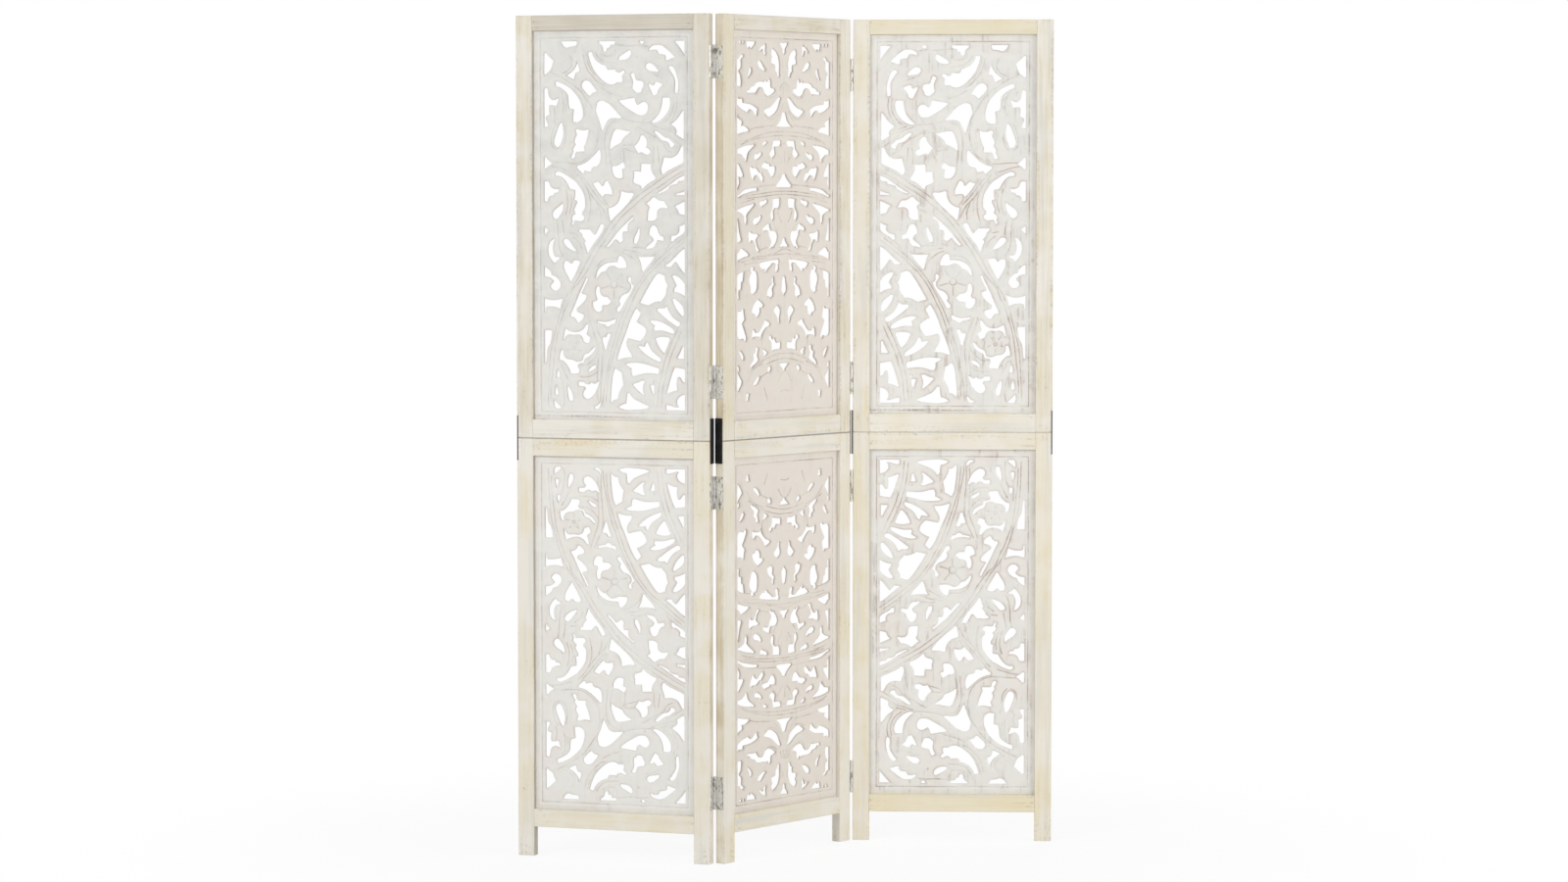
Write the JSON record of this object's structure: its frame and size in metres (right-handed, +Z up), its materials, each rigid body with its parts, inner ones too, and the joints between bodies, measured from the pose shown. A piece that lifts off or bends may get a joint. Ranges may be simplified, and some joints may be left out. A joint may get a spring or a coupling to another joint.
{
  "type": "folding screen",
  "caption": "Free-standing folding room divider: hinged wooden panels, each two stacked frames around boards pierced and carved as a floral jali lattice.",
  "frame": {"origin": "floor level, at the centre of the standing screen's bounding box", "axes": "+X to the viewer's right across the front, +Y to the back, +Z up; the three panels stand folded as a free-standing screen does"},
  "size_m": [1.0643, 0.3398, 1.65],
  "materials": {
    "whitewashed_frame": "matte whitewash, rubbed through at edges",
    "carved_board": "matte whitewash over carved wood",
    "black_plate": "black, satin",
    "black_screw": "black, satin",
    "hinge_metal": "zinc-bright, satin"
  },
  "bodies": {
    "middle_panel": {"middle_upper_left_stile": "whitewashed_frame", "middle_upper_right_stile": "whitewashed_frame", "middle_upper_top_rail": "whitewashed_frame", "middle_upper_bottom_rail": "whitewashed_frame", "middle_upper_carved_board": "carved_board", "middle_lower_left_stile": "whitewashed_frame", "middle_lower_right_stile": "whitewashed_frame", "middle_lower_top_rail": "whitewashed_frame", "middle_lower_bottom_rail": "whitewashed_frame", "middle_lower_carved_board": "carved_board", "middle_left_joining_plate": "black_plate", "middle_right_joining_plate": "black_plate", "middle_plate_screws": "black_screw", "middle_hinge_screws": "hinge_metal", "left_fold_hinge_1_middle_leaf": "hinge_metal", "left_fold_hinge_2_middle_leaf": "hinge_metal", "left_fold_hinge_3_middle_leaf": "hinge_metal", "left_fold_hinge_4_middle_leaf": "hinge_metal", "left_fold_hinge_pins": "hinge_metal", "right_fold_hinge_1_middle_leaf": "hinge_metal", "right_fold_hinge_2_middle_leaf": "hinge_metal", "right_fold_hinge_3_middle_leaf": "hinge_metal", "right_fold_hinge_4_middle_leaf": "hinge_metal", "right_fold_hinge_pins": "hinge_metal"},
    "left_panel": {"left_upper_left_stile": "whitewashed_frame", "left_upper_right_stile": "whitewashed_frame", "left_upper_top_rail": "whitewashed_frame", "left_upper_bottom_rail": "whitewashed_frame", "left_upper_carved_board": "carved_board", "left_lower_left_stile": "whitewashed_frame", "left_lower_right_stile": "whitewashed_frame", "left_lower_top_rail": "whitewashed_frame", "left_lower_bottom_rail": "whitewashed_frame", "left_lower_carved_board": "carved_board", "left_left_joining_plate": "black_plate", "left_right_joining_plate": "black_plate", "left_plate_screws": "black_screw", "left_hinge_screws": "hinge_metal", "left_fold_hinge_1_left_leaf": "hinge_metal", "left_fold_hinge_2_left_leaf": "hinge_metal", "left_fold_hinge_3_left_leaf": "hinge_metal", "left_fold_hinge_4_left_leaf": "hinge_metal"},
    "right_panel": {"right_upper_left_stile": "whitewashed_frame", "right_upper_right_stile": "whitewashed_frame", "right_upper_top_rail": "whitewashed_frame", "right_upper_bottom_rail": "whitewashed_frame", "right_upper_carved_board": "carved_board", "right_lower_left_stile": "whitewashed_frame", "right_lower_right_stile": "whitewashed_frame", "right_lower_top_rail": "whitewashed_frame", "right_lower_bottom_rail": "whitewashed_frame", "right_lower_carved_board": "carved_board", "right_left_joining_plate": "black_plate", "right_right_joining_plate": "black_plate", "right_plate_screws": "black_screw", "right_hinge_screws": "hinge_metal", "right_fold_hinge_1_right_leaf": "hinge_metal", "right_fold_hinge_2_right_leaf": "hinge_metal", "right_fold_hinge_3_right_leaf": "hinge_metal", "right_fold_hinge_4_right_leaf": "hinge_metal"}
  },
  "joints": [
    {"name": "left_fold", "type": "hinge", "parent": "middle_panel", "child": "left_panel", "pos_m": [-0.14409, -0.15114, 0], "axis": [0, 0, 1], "range_deg": [-110.54, 69.46]},
    {"name": "right_fold", "type": "hinge", "parent": "middle_panel", "child": "right_panel", "pos_m": [0.1289, 0.1491, 0], "axis": [0, 0, 1], "range_deg": [-126.3, 53.7]}
  ]
}
